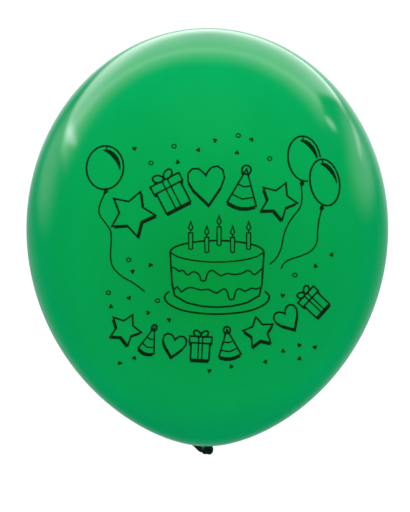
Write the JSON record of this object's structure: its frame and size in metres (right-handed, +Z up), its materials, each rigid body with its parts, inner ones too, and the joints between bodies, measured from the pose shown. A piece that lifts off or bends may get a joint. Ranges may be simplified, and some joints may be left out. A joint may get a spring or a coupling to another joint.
{
  "type": "latex balloon",
  "caption": "Inflated and tied latex party balloon, pear-shaped, with a one-colour celebration print on its front and a knotted neck and tail below.",
  "frame": {"origin": "the tie, on the balloon's axis at the narrowest place of the neck, between the skin's throat and the knot", "axes": "+Z up the balloon's axis from the tie to the crown; -Y is the printed front; +X is the right-hand side of the print as it is read"},
  "size_m": [0.3, 0.3006, 0.3712],
  "materials": {
    "skin": "gloss",
    "neck": "gloss",
    "knot": "satin",
    "tail": "satin",
    "ink": "matte"
  },
  "bodies": {
    "balloon": {"envelope": "skin", "print_cake": "ink", "print_plate": "ink", "print_balloon_left": "ink", "print_balloon_right_front": "ink", "print_balloon_right_back": "ink", "print_top_1_star": "ink", "print_top_2_gift": "ink", "print_top_3_heart": "ink", "print_top_4_hat": "ink", "print_top_5_star": "ink", "print_bottom_1_star": "ink", "print_bottom_2_hat": "ink", "print_bottom_3_heart": "ink", "print_bottom_4_gift": "ink", "print_bottom_5_hat": "ink", "print_bottom_6_star": "ink", "print_bottom_7_heart": "ink", "print_bottom_8_gift": "ink", "print_confetti_heart_1": "ink", "print_confetti_heart_2": "ink", "print_confetti_heart_3": "ink", "print_confetti_heart_4": "ink", "print_confetti_heart_5": "ink", "print_confetti_heart_6": "ink", "print_confetti_heart_7": "ink", "print_confetti_heart_8": "ink", "print_confetti_heart_9": "ink", "print_confetti_heart_10": "ink", "print_confetti_heart_11": "ink", "print_confetti_heart_12": "ink", "print_confetti_heart_13": "ink", "print_confetti_heart_14": "ink", "print_confetti_heart_15": "ink", "print_confetti_heart_16": "ink", "print_confetti_heart_17": "ink", "print_confetti_heart_18": "ink", "print_confetti_heart_19": "ink", "print_confetti_heart_20": "ink", "print_confetti_heart_21": "ink", "print_confetti_heart_22": "ink", "print_confetti_heart_23": "ink", "print_confetti_heart_24": "ink", "print_confetti_ring_1": "ink", "print_confetti_ring_2": "ink", "print_confetti_ring_3": "ink", "print_confetti_ring_4": "ink", "print_confetti_ring_5": "ink", "print_confetti_ring_6": "ink", "print_confetti_ring_7": "ink", "print_confetti_ring_8": "ink"},
    "neck": {"neck": "neck"},
    "knot": {"knot": "knot"},
    "tail": {"tail_root": "tail"},
    "tail_tip": {"tail_end": "tail", "rolled_rim": "tail"}
  },
  "joints": [
    {"name": "neck_nod", "type": "hinge", "parent": "balloon", "child": "neck", "pos_m": [0, 0, 0.0034], "axis": [1, 0, 0], "range_deg": [-8, 8], "stiffness_Nm_per_rad": 0.002},
    {"name": "knot_sway", "type": "hinge", "parent": "neck", "child": "knot", "pos_m": [0, 0, 0], "axis": [0, 1, 0], "range_deg": [-8, 8], "stiffness_Nm_per_rad": 0.002},
    {"name": "tail_lift", "type": "hinge", "parent": "knot", "child": "tail", "pos_m": [-0.00334, 0.00398, -0.0044], "axis": [0.766, 0.6428, 0], "range_deg": [-50, 4], "stiffness_Nm_per_rad": 0.0005},
    {"name": "tail_curl", "type": "hinge", "parent": "tail", "child": "tail_tip", "pos_m": [-0.00754, 0.00899, -0.00348], "axis": [0.766, 0.6428, 0], "range_deg": [-50, 6], "stiffness_Nm_per_rad": 0.0003}
  ]
}
